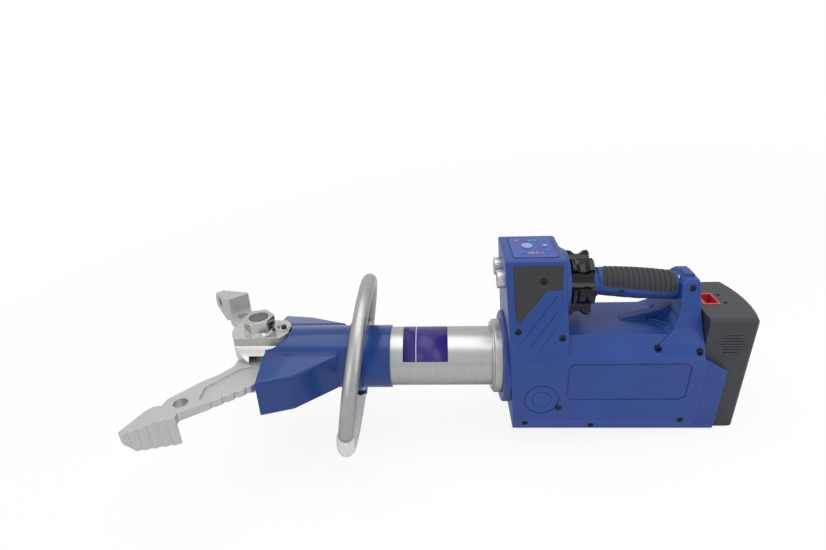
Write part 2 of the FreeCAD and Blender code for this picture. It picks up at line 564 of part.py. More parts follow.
def grip_section(x, grow):
    """Oval section; the grip sinks slightly towards the rear and swells in the middle."""
    t = (x - grip_x0) / (grip_x1 - grip_x0)
    zc = grip_z + 2.0 - 7.5 * t
    ry = 15.5 + 2.0 * math.sin(math.pi * t) + grow
    rz = 17.0 + 1.6 * math.sin(math.pi * t) + grow
    pts = []
    for k in range(28):
        a = 2 * math.pi * k / 28
        pts.append(V(x, ry * math.cos(a), zc + rz * math.sin(a)))
    return pts


def spline_loft(grow, x0, x1, steps):
    """Smooth body through oval sections."""
    wires = []
    for k in range(steps + 1):
        pts = grip_section(x0 + (x1 - x0) * k / steps, grow)
        curve = Part.BSplineCurve()
        curve.interpolate(pts, PeriodicFlag=True)
        wires.append(Part.Wire(curve.toShape()))
    return Part.makeLoft(wires, True, False)


grip_full = spline_loft(0, grip_x0, grip_x1, 6)
grip_inner = spline_loft(-3.0, grip_x0 - 1, grip_x1 + 1, 6)
top_zone = side_prism([(grip_x0 + 4, grip_z + 3), (grip_x1 - 3, grip_z - 7), (grip_x1 - 3, 260), (grip_x0 + 4, 260)], 40)
low_zone = side_prism([(grip_x0 + 8, grip_z - 9), (grip_x1 - 6, grip_z - 15), (grip_x1 - 6, 90), (grip_x0 + 8, 90)], 40)
sheath = grip_full.cut(grip_inner)
top_pad = sheath.common(top_zone)
for k in range(13):
    x = grip_x0 + 10 + 6.2 * k
    bead = spline_loft(1.1, x, x + 3.2, 1).cut(spline_loft(-1, x - 1, x + 4.2, 1)).common(top_zone)
    top_pad = top_pad.fuse(bead)
low_pad = sheath.common(low_zone)
for k in range(4):
    low_pad = low_pad.cut(rod(8, 80, V(grip_x0 + 20 + 18 * k, -40, grip_z - 22.6 - 1.4 * k), Y))
low_pad = low_pad.common(low_zone)
grip = grip_full.cut(sheath.common(top_zone)).cut(sheath.common(low_zone))
grip = grip.cut(rod(core_r + 0.05, 200, V(0, 0, grip_z)))
cone_ring = Part.makeCone(23, 17.5, grip_x0 - gap - knob_x - knob_len - gap, V(knob_x + knob_len + gap, 0, grip_z), X).cut(rod(core_r + 0.05, 200, V(0, 0, grip_z)))
save("grip_body", grip.removeSplitter())
save("grip_collar", cone_ring)
save("grip_top_pad", top_pad.removeSplitter())
save("grip_lower_pad", max(low_pad.Solids, key=lambda s: s.Volume) if len(low_pad.Solids) > 1 else low_pad)

# Star knob: six deep lobes flared at both ends, turning on the grip core; its hub reaches into the head
lobes = 6
valley_r, valley_cut_r = knob_r - 11.5, 12.0
knob_profile = [(0, 0), (0, knob_r - 2.5), (2.5, knob_r), (6, knob_r - 0.6), (11, knob_r - 4.6), (17, knob_r - 4.6),
                (22, knob_r - 0.6), (25.5, knob_r), (knob_len, knob_r - 3), (knob_len, 0)]
outline = Part.makePolygon([V(knob_x + x, 0, grip_z + r) for x, r in knob_profile + knob_profile[:1]])
knob = Part.Face(outline).revolve(V(0, 0, grip_z), X, 360)
for k in range(lobes):
    a = 2 * math.pi * (k + 0.5) / lobes
    reach = valley_r + valley_cut_r
    knob = knob.cut(rod(valley_cut_r, knob_len + 2, V(knob_x - 1, reach * math.cos(a), grip_z + reach * math.sin(a))))
knob = knob.cut(Part.makeCone(27, 24, 5, V(knob_x - 0.1, 0, grip_z), X))
knob = knob.fuse(rod(20.5, knob_x + 8 - 36, V(36, 0, grip_z))).cut(rod(core_r + running, 200, V(0, 0, grip_z)))
save("star_knob", knob.removeSplitter())
save("knob_spring_ring", ring(20.4, core_r + 0.1, 1.6, V(34.1, 0, grip_z)))

# Battery: case with a convex back, top latch, contacts and cells
plan = [V(bat_front_x, -bat_half_w, 0), V(bat_side_x, -bat_half_w, 0)]
back = Part.Arc(V(bat_side_x, -bat_half_w, 0), V(bat_rear_x, 0, 0), V(bat_side_x, bat_half_w, 0)).toShape()
front_line = Part.makePolygon([V(bat_side_x, bat_half_w, 0), V(bat_front_x, bat_half_w, 0), V(bat_front_x, -bat_half_w, 0),
                               V(bat_side_x, -bat_half_w, 0)])
case = Part.Face(Part.Wire([back] + front_line.Edges)).extrude(V(0, 0, 400))
case_side = [(bat_front_x, 4.8), (rear_x + 0.6, 4.8), (rear_x + 3, bat_bottom_z), (300, bat_bottom_z), (300, bat_top_z),
             (post_x1 + 0.9, bat_top_z), (post_x1 + 0.9, bay_step_z), (bat_front_x, bay_step_z)]
case = case.common(side_prism(case_side, 90))
case = soften(case, 6.0, lambda e: (abs(e.CenterOfMass.z - bat_top_z) < 1 and (abs(e.CenterOfMass.y) > 30
              or e.CenterOfMass.x > bat_side_x - 2)) or (abs(e.CenterOfMass.x - bat_side_x) < 0.5 and abs(e.CenterOfMass.y) > 40))
for s in (-1, 1):
    y_in, y_out = sorted((s * (bat_half_w - 1.6), s * (bat_half_w + 4)))
    for k in range(7):
        half = 14.5 - 2.0 * abs(k - 3)
        z = 112 + 3.8 * k
        case = case.cut(box(234 - half, 234 + half, y_in, y_out, z, z + 1.5))
latch_x0, latch_x1 = 212.0, 229.0
case = case.cut(box(latch_x0 - 2, latch_x1 + 2, -14, 14, bat_top_z - 14, bat_top_z + 5))
case = case.cut(box(bat_front_x + 4, 252, -bat_half_w + 7, bat_half_w - 7, 12, bay_step_z - 4))
case = case.cut(box(post_x1 + 5, 252, -bat_half_w + 7, bat_half_w - 7, bay_step_z - 5, deck_z + 4))
case = case.cut(rod(2.4, 8, V(238, -10, bat_top_z - 5), Z)).cut(rod(2.4, 8, V(238, 10, bat_top_z - 5), Z))
rail_z0, rail_z1, rail_rear_x = 60.0, 66.0, 226.0
rails = []
for s in (-1, 1):
    y_in, y_out = sorted((s * (bat_half_w - 2.9), s * (bat_half_w + 5)))
    case = case.cut(box(bat_front_x - 1, rail_rear_x + gap, y_in, y_out, rail_z0 - gap, rail_z1 + gap))
    y_in, y_out = sorted((s * (bat_half_w - 2.6), s * (bat_half_w + 0.35)))
    rails.append(box(bat_front_x + 2, rail_rear_x, y_in, y_out, rail_z0, rail_z1))
save("battery_case", case.removeSplitter())
save("battery_rails", *rails)
frame_out = box(latch_x0 - 1.9, latch_x1 + 1.9, -13.9, 13.9, bat_top_z - 13.9, bat_top_z + 0.6)
latch_frame = frame_out.cut(box(latch_x0, latch_x1, -11.5, 11.5, bat_top_z - 12, bat_top_z + 5))
save("latch_frame", latch_frame)
latch = box(latch_x0 + 0.3, latch_x0 + 10, -11.2, 11.2, bat_top_z - 11.7, bat_top_z - 1)
latch = latch.cut(rod(5, 40, V(latch_x0 + 9, -20, bat_top_z - 1), Y))
save("battery_latch", latch.removeSplitter())
cells = [ring(9, 2.5, 91, V(204.5 + 18.4 * i, -27.6 + 18.4 * j, 12.2), Z) for i in range(2) for j in range(4)]
save("battery_cells", *cells)
save("contact_block", box(bat_front_x - 9, bat_front_x - 4.2, -20, 20, 60, 84))

# Drive inside the housing: motor, gearbox, pump block, valve block, oil bladder and control board
pump = box(-11.5, 20, -34, 34, axis_z - 34, axis_z + 34).fuse(rod(tube_r - 0.1, 8.5, V(-19.7, 0, axis_z)))
save("pump_block", pump.cut(rod(5, 30, V(5, 0, axis_z))).removeSplitter())
gearbox = Part.makeCone(30, 26, 26, V(20.2, 0, axis_z), X)
save("gearbox", gearbox)
motor = rod(27, 92, V(46.4, 0, axis_z)).fuse(rod(15, 10, V(138, 0, axis_z)))
for a in range(0, 360, 45):
    motor = motor.cut(turn(box(60, 70, -3, 3, 25, 30), V(0, 0, 0), a, X).translated(V(0, 0, axis_z)))
save("motor", motor.removeSplitter())
save("valve_block", box(-11, 19.8, -24, 24, axis_z + 34.2, grip_z - 20))
tank = box(54, 150, -44, 44, 8.6, axis_z - 28)
save("oil_tank", soften(tank, 8, lambda e: abs(e.tangentAt(e.FirstParameter).x) > 0.99))
control_board = box(60, 150, -30, 30, deck_z - 14, deck_z - 12)
for x, y in ((66, -25), (66, 25), (144, -25), (144, 25)):
    control_board = control_board.fuse(rod(3, 9.8, V(x, y, deck_z - 14), Z))
save("control_board", control_board.removeSplitter())
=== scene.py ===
"""Looks of the battery rescue combi tool, in the order in which it is put together from the arms
back to the battery. Places and sizes are in metres, in the CAD part's frame; the sizes of patterns
are in millimetres."""
import math
import bpy
from mathutils import Matrix, Vector


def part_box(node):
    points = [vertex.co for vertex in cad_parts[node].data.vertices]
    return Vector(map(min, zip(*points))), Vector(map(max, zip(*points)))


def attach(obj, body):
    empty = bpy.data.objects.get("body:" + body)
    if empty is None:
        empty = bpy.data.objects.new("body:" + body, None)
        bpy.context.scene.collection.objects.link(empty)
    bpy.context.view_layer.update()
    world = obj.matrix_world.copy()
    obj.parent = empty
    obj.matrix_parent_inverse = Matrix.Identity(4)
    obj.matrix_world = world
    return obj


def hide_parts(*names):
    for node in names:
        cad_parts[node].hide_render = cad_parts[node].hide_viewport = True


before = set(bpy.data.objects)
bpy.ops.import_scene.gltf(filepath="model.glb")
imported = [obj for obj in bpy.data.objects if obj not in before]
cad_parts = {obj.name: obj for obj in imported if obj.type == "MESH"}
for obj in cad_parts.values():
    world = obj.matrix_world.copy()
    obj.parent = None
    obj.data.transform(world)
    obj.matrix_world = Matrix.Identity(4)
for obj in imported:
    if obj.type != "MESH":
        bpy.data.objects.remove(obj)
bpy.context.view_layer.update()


# Gripping and cutting arms. Drop-forged high-strength aluminium, shot blasted to an even pale grey
# with hardly any shine, then machined at the tip flutes, the notches and the pivot bore. The blast
# marks are drawn coarser than the real 0.3 mm so that they show.
def linear(hex_code):
    """sRGB hex to a linear colour."""
    out = []
    for i in (0, 2, 4):
        c = int(hex_code[i:i + 2], 16) / 255
        out.append(c / 12.92 if c <= 0.04045 else ((c + 0.055) / 1.055) ** 2.4)
    return (*out, 1.0)


def add(tree, kind, settings=None, links=None):
    """One shader node: values go on its sockets or settings, links come from other outputs."""
    n = tree.nodes.new(kind)
    for key, value in (settings or {}).items():
        if isinstance(key, int) or key in n.inputs:
            n.inputs[key].default_value = value
        else:
            setattr(n, key, value)
    for key, source in (links or {}).items():
        tree.links.new(source, n.inputs[key])
    return n


def finish(name, **values):
    """A named material: its tree, its shader and the object's own coordinates in millimetres."""
    material = bpy.data.materials.new(name)
    material.use_nodes = True
    tree = material.node_tree
    shader = tree.nodes["Principled BSDF"]
    for key, value in values.items():
        shader.inputs[key.replace("_", " ")].default_value = value
    place = add(tree, "ShaderNodeTexCoord")
    mm = add(tree, "ShaderNodeVectorMath", {"operation": "SCALE", "Scale": 1000.0},
             {0: place.outputs["Object"]})
    return material, tree, shader, mm.outputs[0]


# A Mix node's colour sockets, its two inputs and its output; the span that noise nearly fills; and
# the cosines of the rounded normal's lean where a corner's rubbing starts and where it is full.
mix_a, mix_b, mix_out = 6, 7, 2
noise_low, noise_high = 0.3, 0.7
rub_starts, rub_full = 0.995, 0.9
bevel_samples = 6


def mottle(tree, shader, coords, size_mm, dark, light, rough=None, detail=3.0):
    """Colour that drifts between two hex values in blobs of size_mm, and roughness with it."""
    blobs = add(tree, "ShaderNodeTexNoise", {"Scale": 1.0 / size_mm, "Detail": detail},
                {"Vector": coords})
    drift = add(tree, "ShaderNodeMapRange", {"From Min": noise_low, "From Max": noise_high},
                {"Value": blobs.outputs["Fac"]})
    colour = add(tree, "ShaderNodeMix",
                 {"data_type": "RGBA", mix_a: linear(dark), mix_b: linear(light)},
                 {0: drift.outputs[0]})
    tree.links.new(colour.outputs[mix_out], shader.inputs["Base Color"])
    if rough:
        span = add(tree, "ShaderNodeMapRange", {"To Min": rough[0], "To Max": rough[1]},
                   {"Value": drift.outputs[0]})
        tree.links.new(span.outputs[0], shader.inputs["Roughness"])
    return colour.outputs[mix_out]


def grain(tree, shader, coords, size_mm, depth_mm, edge_mm=0.0, detail=3.0):
    """Surface grain of size_mm and depth_mm, over edges that look rounded by edge_mm."""
    blobs = add(tree, "ShaderNodeTexNoise", {"Scale": 1.0 / size_mm, "Detail": detail},
                {"Vector": coords})
    bump = add(tree, "ShaderNodeBump", {"Strength": 1.0, "Distance": depth_mm / 1000},
               {"Height": blobs.outputs["Fac"]})
    if edge_mm:
        soft = add(tree, "ShaderNodeBevel", {"Radius": edge_mm / 1000, "samples": bevel_samples})
        tree.links.new(soft.outputs[0], bump.inputs["Normal"])
    tree.links.new(bump.outputs[0], shader.inputs["Normal"])


def worn_edges(tree, shader, colour, edge_mm, bare, amount):
    """Rubs a paler colour into proud corners, where the bevelled normal turns away."""
    soft = add(tree, "ShaderNodeBevel", {"Radius": edge_mm / 1000, "samples": bevel_samples})
    flat = add(tree, "ShaderNodeNewGeometry")
    turn = add(tree, "ShaderNodeVectorMath", {"operation": "DOT_PRODUCT"},
               {0: soft.outputs[0], 1: flat.outputs["Normal"]})
    edge = add(tree, "ShaderNodeMapRange",
               {"From Min": rub_starts, "From Max": rub_full, "To Min": 0.0, "To Max": amount},
               {"Value": turn.outputs["Value"]})
    mixed = add(tree, "ShaderNodeMix", {"data_type": "RGBA", mix_b: linear(bare)},
                {0: edge.outputs[0], mix_a: colour})
    tree.links.new(mixed.outputs[mix_out], shader.inputs["Base Color"])


def paint(material, *names):
    """Gives CAD nodes a material."""
    for name in names:
        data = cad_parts[name].data
        data.materials.clear()
        data.materials.append(material)


forged, tree, shader, mm = finish("blasted_forged_aluminium", Metallic=0.7)
blast = mottle(tree, shader, mm, size_mm=1.5, dark="AEAEB0", light="BABABC", rough=(0.44, 0.56),
               detail=5.0)
worn_edges(tree, shader, blast, edge_mm=1.0, bare="D2D2D4", amount=0.6)
grain(tree, shader, mm, size_mm=0.8, depth_mm=0.05, edge_mm=0.9, detail=4.0)
paint(forged, "upper_blade", "lower_blade")

# Links, pins, yoke, piston rod, gland and the nut's locking tab. Ground steel, zinc plated: a
# bright grey with a faint cloudy bloom.
zinc, tree, shader, mm = finish("zinc_plated_steel", Metallic=1.0)
mottle(tree, shader, mm, size_mm=3.0, dark="A9ABAF", light="CFD0D3", rough=(0.18, 0.34), detail=4.0)
grain(tree, shader, mm, size_mm=0.9, depth_mm=0.01, edge_mm=0.7)
paint(zinc, "near_link", "far_link", "near_tail_pin", "far_tail_pin", "yoke", "yoke_pins",
      "piston_rod", "rod_gland", "locking_tab")

# Flange nut. Stainless steel, turned and left bright; the spanner has rubbed its corners pale.
bright, tree, shader, mm = finish("bright_stainless_fastener", Metallic=1.0)
polish = mottle(tree, shader, mm, size_mm=2.0, dark="A6A6A5", light="B8B8B6", rough=(0.12, 0.2),
                detail=4.0)
worn_edges(tree, shader, polish, edge_mm=0.8, bare="F2F2F0", amount=0.6)
grain(tree, shader, mm, size_mm=0.6, depth_mm=0.002, edge_mm=0.6)
paint(bright, "pivot_nut")

# Pivot bolt. Hardened steel, turned and oiled, so that its end shows as a plain mid grey inside
# the bright nut.
shank, tree, shader, mm = finish("turned_bolt_steel", Metallic=0.9)
mottle(tree, shader, mm, size_mm=2.0, dark="5E5E5F", light="757576", rough=(0.3, 0.42), detail=4.0)
grain(tree, shader, mm, size_mm=0.6, depth_mm=0.004, edge_mm=0.3)
paint(shank, "pivot_bolt")

# Screws, rod nut and motor can. Blackened steel, nearly black with a dull oily shine.
burnished, tree, shader, mm = finish("blackened_screw_steel", Metallic=0.9)
mottle(tree, shader, mm, size_mm=1.5, dark="1C1C1F", light="38383D", rough=(0.28, 0.42))
grain(tree, shader, mm, size_mm=0.6, depth_mm=0.015, edge_mm=0.3)
paint(burnished, "tab_screw", "shell_screws", "hoop_clamp_bolt", "piston_nut", "motor")


# Clevis head, cylinder tube, end cap, collar and pump parts. Machined aluminium: the tool marks run
# round the X axis and draw its highlights out; they are drawn coarser than the real 0.1 mm so that
# they show.
def machined(name, dark, light, rough, ring_mm, edge_mm):
    """Aluminium with tool marks round the X axis."""
    metal, tree, shader, mm = finish(name, Metallic=1.0)
    drawn_out = (1.0, 0.02, 0.02)  # fifty times longer round the axis than along it
    rings = add(tree, "ShaderNodeVectorMath", {"operation": "MULTIPLY", 1: drawn_out}, {0: mm})
    mottle(tree, shader, rings.outputs[0], ring_mm, dark, light, rough, detail=4.0)
    grain(tree, shader, rings.outputs[0], ring_mm, depth_mm=0.004, edge_mm=edge_mm, detail=4.0)
    return metal


milled = machined("milled_aluminium", dark="B6B5B2", light="C1C0BD", rough=(0.32, 0.4), ring_mm=0.9,
                  edge_mm=0.9)
paint(milled, "clevis_head", "valve_block", "pump_block")
turned = machined("satin_turned_aluminium", dark="9FA0A0", light="ACADAD", rough=(0.3, 0.36),
                  ring_mm=0.5, edge_mm=0.8)
paint(turned, "cylinder_tube", "collar", "cylinder_cap", "piston", "gearbox")

# Piston seal and oil bladder. Nitrile rubber, moulded, black and matt.
seal, tree, shader, mm = finish("black_nitrile_seal")
mottle(tree, shader, mm, size_mm=4.0, dark="141415", light="1E1E20", rough=(0.4, 0.55))
grain(tree, shader, mm, size_mm=1.0, depth_mm=0.02)
paint(seal, "piston_seal", "oil_tank")

# Guard sleeve with its two side wings, and the hoop's clamp. Cast aluminium with a gloss blue
# powder coat, whose orange-peel makes long wavy highlights; it is rubbed paler at the wing edges.
powder, tree, shader, mm = finish("gloss_blue_powder_coat", Specular_IOR_Level=0.25,
                                  Coat_Weight=0.2, Coat_Roughness=0.04)
coat = mottle(tree, shader, mm, size_mm=60.0, dark="153876", light="173C7E", rough=(0.2, 0.26),
              detail=2.0)
worn_edges(tree, shader, coat, edge_mm=1.2, bare="3A62AE", amount=0.5)
grain(tree, shader, mm, size_mm=2.2, depth_mm=0.02, edge_mm=1.5, detail=1.0)
paint(powder, "guard_sleeve", "hoop_clamp")

# Label round the cylinder tube. Violet-blue vinyl sticker with a thin white line near its front
# end, smooth and semi-gloss. It wraps over the top and down the near side.
label_front, label_rear, label_gap, label_film = -0.152, -0.0955, 0.00001, 0.00012
label_from, label_to, label_steps = math.radians(158.0), math.radians(60.0), 44
line_back_mm, line_half_mm = 16.5, 0.45
line_mm = label_front * 1000 + line_back_mm
vinyl, tree, shader, mm = finish("violet_vinyl_label", Roughness=0.3, Specular_IOR_Level=0.3)
film_colour = mottle(tree, shader, mm, size_mm=10.0, dark="2F2670", light="322974")
axes = add(tree, "ShaderNodeSeparateXYZ", None, {0: mm})
at_line = add(tree, "ShaderNodeMath", {"operation": "COMPARE", 1: line_mm, 2: line_half_mm},
              {0: axes.outputs["X"]})
lined = add(tree, "ShaderNodeMix", {"data_type": "RGBA", mix_b: linear("D9DAEC")},
            {0: at_line.outputs[0], mix_a: film_colour})
tree.links.new(lined.outputs[mix_out], shader.inputs["Base Color"])
grain(tree, shader, mm, size_mm=0.6, depth_mm=0.01)


def skin(name, loops, material, body, closed=False, smooth=True):
    """A new piece that rides on a body: a skin over loops of points. The last loop joins the first
    in a closed one; otherwise the first and the last are capped."""
    count = len(loops[0])
    faces = []
    for i in range(len(loops) if closed else len(loops) - 1):
        this, following = i * count, (i + 1) % len(loops) * count
        for k in range(count):
            j = (k + 1) % count
            faces.append((this + k, this + j, following + j, following + k))
    if not closed:
        last = (len(loops) - 1) * count
        faces.append(tuple(reversed(range(count))))
        faces.append(tuple(range(last, last + count)))
    data = bpy.data.meshes.new(name)
    data.from_pydata([point for loop in loops for point in loop], [], faces)
    data.materials.append(material)
    data.polygons.foreach_set("use_smooth", [smooth] * len(faces))
    piece = bpy.data.objects.new(name, data)
    bpy.context.scene.collection.objects.link(piece)
    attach(piece, body)
    return piece


tube_low, tube_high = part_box("cylinder_tube")
tube_r, tube_z = (tube_high[2] - tube_low[2]) / 2, (tube_high[2] + tube_low[2]) / 2
inner_r, outer_r = tube_r + label_gap, tube_r + label_film
loops = []
for k in range(label_steps + 1):
    a = label_from + (label_to - label_from) * k / label_steps
    section = ((label_front, outer_r), (label_rear, outer_r), (label_rear, inner_r),
               (label_front, inner_r))
    loops.append([(x, r * math.cos(a), tube_z + r * math.sin(a)) for x, r in section])
skin("tube_label", loops, vinyl, "housing")

# Hoop handle. Stainless tube bent and welded, glass-bead blasted to a satin mid grey.
satin, tree, shader, mm = finish("satin_blasted_stainless", Metallic=1.0)
mottle(tree, shader, mm, size_mm=14.0, dark="999998", light="A3A3A2", rough=(0.36, 0.42))
grain(tree, shader, mm, size_mm=0.7, depth_mm=0.02)
paint(satin, "hoop_handle")

# Clear hose round the hoop's foot. Soft PVC, whitish where it is bent, pushed over the lower part
# of the tube; its ends are cut square and slightly rubbed. It stands for the CAD's shorter sleeve.
hoop_low, hoop_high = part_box("hoop_handle")
hoop_tube_r, hoop_lean = 0.009, math.radians(9.0)
hoop_centre, hoop_r = (hoop_low + hoop_high) / 2, hoop_high[1] - hoop_tube_r
hose_reach, hose_steps, hose_sides = math.radians(74), 80, 28
hose_outer_r, hose_slack, hose_rub = 0.010996, 0.00006, 0.0007
hose_inner_r = hoop_tube_r + hose_slack
pvc, tree, shader, mm = finish("clear_pvc_hose", IOR=1.53, Transmission_Weight=0.4)
mottle(tree, shader, mm, size_mm=9.0, dark="EEF1F3", light="FAFBFC", rough=(0.12, 0.2))
grain(tree, shader, mm, size_mm=5.0, depth_mm=0.03)
paint(pvc, "hoop_foot_sleeve")
lean = Matrix.Rotation(hoop_lean, 3, "Y")
along = Vector((1, 0, 0))
outside, inside = [], []
for i in range(hose_steps + 1):
    a = hose_reach - 2 * hose_reach * i / hose_steps
    inward = Vector((0, -math.sin(a), math.cos(a)))
    rub = hose_rub if i in (0, hose_steps) else 0
    for wall, loops in ((hose_outer_r - rub, outside), (hose_inner_r, inside)):
        loop = []
        for k in range(hose_sides):
            b = 2 * math.pi * k / hose_sides
            spoke = (along * math.cos(b) + inward * math.sin(b)) * wall
            loop.append(hoop_centre + lean @ (spoke - inward * hoop_r))
        loops.append(loop)
hose = skin("hoop_foot_hose", outside + inside[::-1], pvc, "housing", closed=True)
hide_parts("hoop_foot_sleeve")

# Housing halves, front ring, grip body and collar. Injection moulded blue nylon, satin, with a fine
# spark-eroded texture and rubbed, slightly paler corners.
nylon, tree, shader, mm = finish("moulded_blue_nylon", Specular_IOR_Level=0.35)
blue = mottle(tree, shader, mm, size_mm=60.0, dark="1B3B7E", light="1F4188", rough=(0.36, 0.42),
              detail=2.0)
worn_edges(tree, shader, blue, edge_mm=1.4, bare="4A68B8", amount=0.45)
grain(tree, shader, mm, size_mm=0.5, depth_mm=0.02, edge_mm=1.3, detail=2.0)
paint(nylon, "near_shell", "far_shell", "front_ring", "grip_body", "grip_collar")

# Inset side panels. Glass-filled dark grey plastic, spark-eroded to a matt face, clipped into the
# head.
inset, tree, shader, mm = finish("dark_grey_filled_plastic", Specular_IOR_Level=0.3)
mottle(tree, shader, mm, size_mm=10.0, dark="2F2E31", light="343336", rough=(0.5, 0.6))
grain(tree, shader, mm, size_mm=0.5, depth_mm=0.03, edge_mm=0.8, detail=2.0)
paint(inset, "side_panels")

# Grip pads and feet. Moulded dark grey rubber, matt, dusty and paler on the high ribs.
rubber, tree, shader, mm = finish("dark_grey_grip_rubber", Specular_IOR_Level=0.3,
                                  Sheen_Weight=0.05)
dust = mottle(tree, shader, mm, size_mm=6.0, dark="2A2A2F", light="323237", rough=(0.55, 0.65))
worn_edges(tree, shader, dust, edge_mm=0.6, bare="5C5C62", amount=0.6)
grain(tree, shader, mm, size_mm=0.35, depth_mm=0.04, edge_mm=0.4)
paint(rubber, "grip_top_pad", "grip_lower_pad", "foot_pads")


# Small screws that only show: one low on each flank and one in the blue band on each side of the
# grip. Blackened steel, turned, with a hexagon socket; they are screwed into the housing.
def turned_screw(name, place, side, head_r):
    """Screw head facing out along Y, with a rounded rim and a hexagonal socket; place is the far
    one's, mirrored for the near side."""
    x, y, z = place
    head_side, head_high, socket_low, socket_mouth, sunk = 0.00025, 0.0005, 0.00008, 0.00035, 0.0008
    rim_round, mouth_share, socket_share, sides = 0.00035, 0.55, 0.45, 36
    profile = [(head_r, -sunk), (head_r, head_side), (head_r - rim_round, head_high),
               (head_r * mouth_share, head_high), (None, socket_mouth), (None, socket_low)]
    loops = []
    for radius, out in profile:
        loop = []
        for k in range(sides):
            a = 2 * math.pi * k / sides
            to_flat = math.cos(math.pi / 6) / math.cos(a % (math.pi / 3) - math.pi / 6)
            r = radius or head_r * socket_share * to_flat
            loop.append((x + r * math.cos(a), side * (y + out), z - side * r * math.sin(a)))
        loops.append(loop)
    skin(name, loops, burnished, "housing", smooth=False)


shell_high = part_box("far_shell")[1]
flank_screw, flank_head_r = (0.0396, shell_high[1], 0.0393), 0.0042
grip_screw, grip_head_r = (0.1106, 0.0166, 0.1776), 0.0030
for word, side in (("near", -1), ("far", 1)):
    turned_screw(word + "_flank_screw", flank_screw, side, flank_head_r)
    turned_screw(word + "_grip_screw", grip_screw, side, grip_head_r)

# Star knob. Black thermoset, polished in the mould, with sharp highlights on each lobe. It turns on
# the zinc plated core that also carries the grip.
thermoset, tree, shader, mm = finish("polished_black_thermoset", Specular_IOR_Level=0.3)
mottle(tree, shader, mm, size_mm=8.0, dark="060607", light="0B0B0D", rough=(0.12, 0.2))
grain(tree, shader, mm, size_mm=3.0, depth_mm=0.02, edge_mm=1.6, detail=1.0)
paint(thermoset, "star_knob")
paint(zinc, "grip_core", "grip_anchor", "knob_spring_ring")

# Display in the top of the head. Printed blue polyester film on a foam backing, satin, lighter than
# the housing round it.
polyester, tree, shader, mm = finish("printed_blue_film", Specular_IOR_Level=0.3)
mottle(tree, shader, mm, size_mm=20.0, dark="294799", light="2E4DA0", rough=(0.26, 0.36))
grain(tree, shader, mm, size_mm=0.4, depth_mm=0.01, edge_mm=0.3)
paint(polyester, "display_panel")

# Power key and lamp key. Pale blue polyester domes, pressed out of the film, satin.
dome, tree, shader, mm = finish("pale_key_dome")
mottle(tree, shader, mm, size_mm=3.0, dark="7C8CC6", light="8E9CD0", rough=(0.3, 0.4))
grain(tree, shader, mm, size_mm=0.5, depth_mm=0.01, edge_mm=0.5)
paint(dome, "power_button", "lamp_button")

# Windows over the charge lights, in two rows along the film. Clear plastic; the glow of the lit
# charge lights under it is painted in as base colour, a painted glow: each row is cut into five
# lengths of one colour, and unlit ones are blue as the film is.
row_from_mm, row_to_mm = -13.0, 14.0
# Painted glow: the colours of the lit charge lights, set as plain base colour; the blue lengths are
# unlit.
near_glow_colours = ("34409A", "34409A", "D8C040", "E08A3A", "D84040")
far_glow_colours = ("D84040", "34409A", "34409A", "3FB048", "3FB048")
windows, tree, shader, mm = finish("painted_glow_windows", Roughness=0.25)
axes = add(tree, "ShaderNodeSeparateXYZ", None, {0: mm})
rows = []
for glow_colours in (near_glow_colours, far_glow_colours):
    share = add(tree, "ShaderNodeMapRange", {"From Min": row_from_mm, "From Max": row_to_mm},
                {"Value": axes.outputs["X"]})
    ramp = add(tree, "ShaderNodeValToRGB", None, {0: share.outputs[0]})
    ramp.color_ramp.interpolation = "CONSTANT"
    stops = ramp.color_ramp.elements
    stops[0].color = linear(glow_colours[0])
    stops[1].position = 1 / len(glow_colours)
    stops[1].color = linear(glow_colours[1])
    for i in range(2, len(glow_colours)):
        stops.new(i / len(glow_colours)).color = linear(glow_colours[i])
    rows.append(ramp.outputs[0])
in_far_row = add(tree, "ShaderNodeMath", {"operation": "GREATER_THAN", 1: 0.0},
                 {0: axes.outputs["Y"]})
both = add(tree, "ShaderNodeMix", {"data_type": "RGBA"},
           {0: in_far_row.outputs[0], mix_a: rows[0], mix_b: rows[1]})
tree.links.new(both.outputs[mix_out], shader.inputs["Base Color"])
paint(windows, "led_bars")

# Circuit boards under the display and beside the motor. Glass-fibre board under a green solder
# mask, lacquered and smooth.
mask, tree, shader, mm = finish("green_solder_mask")
mottle(tree, shader, mm, size_mm=5.0, dark="0F4A2A", light="155C36", rough=(0.25, 0.35))
paint(mask, "display_board", "control_board")

# Gasket round the display. Black nitrile rubber, a thin lip that stands a little proud of the head.
gasket_gap, gasket_lip, gasket_proud = 0.00035, 0.0006, 0.0001
gasket_corner_r, gasket_sides = 0.0025, 40
film_low, film_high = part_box("display_panel")
gasket_mid_x = (film_low[0] + film_high[0]) / 2
gasket_half_x = film_high[0] - gasket_mid_x + gasket_gap
gasket_half_y = film_high[1] + gasket_gap
gasket_low, gasket_high = shell_high[2] - gasket_proud, shell_high[2] + gasket_proud
loops = []
for grow, z in ((gasket_lip, gasket_low), (gasket_lip, gasket_high), (0, gasket_high),
                (0, gasket_low)):
    loop = []
    for k in range(gasket_sides):
        a = 2 * math.pi * (k + 0.5) / gasket_sides
        corner_x = math.copysign(gasket_half_x - gasket_corner_r, math.cos(a))
        corner_y = math.copysign(gasket_half_y - gasket_corner_r, math.sin(a))
        r = gasket_corner_r + grow
        loop.append((gasket_mid_x + corner_x + r * math.cos(a), corner_y + r * math.sin(a), z))
    loops.append(loop)
skin("display_gasket", loops, seal, "housing", closed=True, smooth=False)

# Lamp bezels in the front of the head. Knurled aluminium, bright and rubbed on its ridges.
knurled, tree, shader, mm = finish("knurled_aluminium", Metallic=1.0)
ring_tone = mottle(tree, shader, mm, size_mm=1.2, dark="B4B5B7", light="C2C3C5", rough=(0.26, 0.34),
                   detail=4.0)
worn_edges(tree, shader, ring_tone, edge_mm=0.4, bare="DCDCDC", amount=0.5)
grain(tree, shader, mm, size_mm=0.5, depth_mm=0.003, edge_mm=0.4)
paint(knurled, "lamp_bezels")

